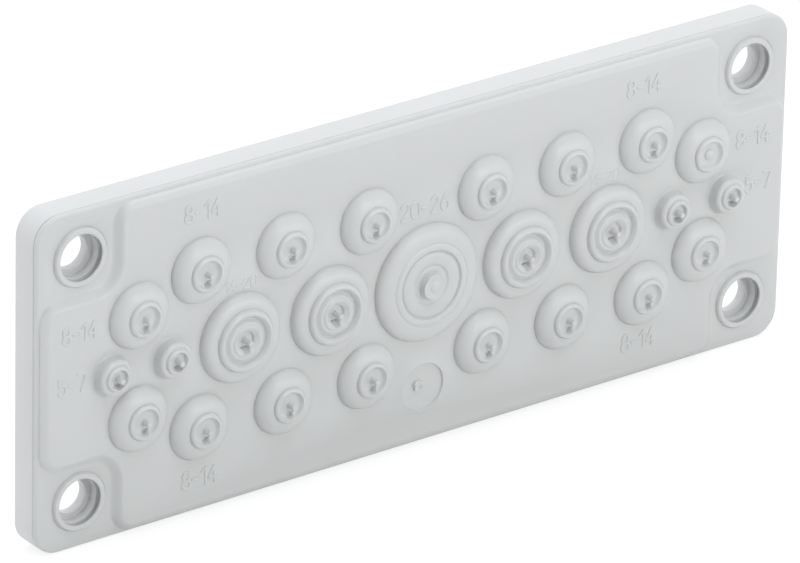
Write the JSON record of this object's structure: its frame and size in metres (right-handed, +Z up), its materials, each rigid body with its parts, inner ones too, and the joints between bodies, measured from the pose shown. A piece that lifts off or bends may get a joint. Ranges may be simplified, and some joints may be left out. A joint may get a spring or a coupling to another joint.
{
  "type": "cable entry plate",
  "caption": "Rectangular cable entry plate: rigid carrier with a soft grey front whose closed, stepped membranes seal cables of several diameters, and corner screw holes.",
  "frame": {"origin": "middle of the lower long edge: the bottom centre of the bounding box", "axes": "+X along the plate's length, +Z up across its width, and the front with the membranes faces -Y, so the back rim faces +Y"},
  "size_m": [0.218, 0.0152, 0.084],
  "materials": {
    "carrier": "light grey moulded plastic, fine matt texture",
    "membrane": "light grey soft elastomer, satin, faint moulding flow"
  },
  "bodies": {
    "root": {"carrier_plate": "carrier", "membrane_sheet": "membrane"}
  },
  "joints": []
}
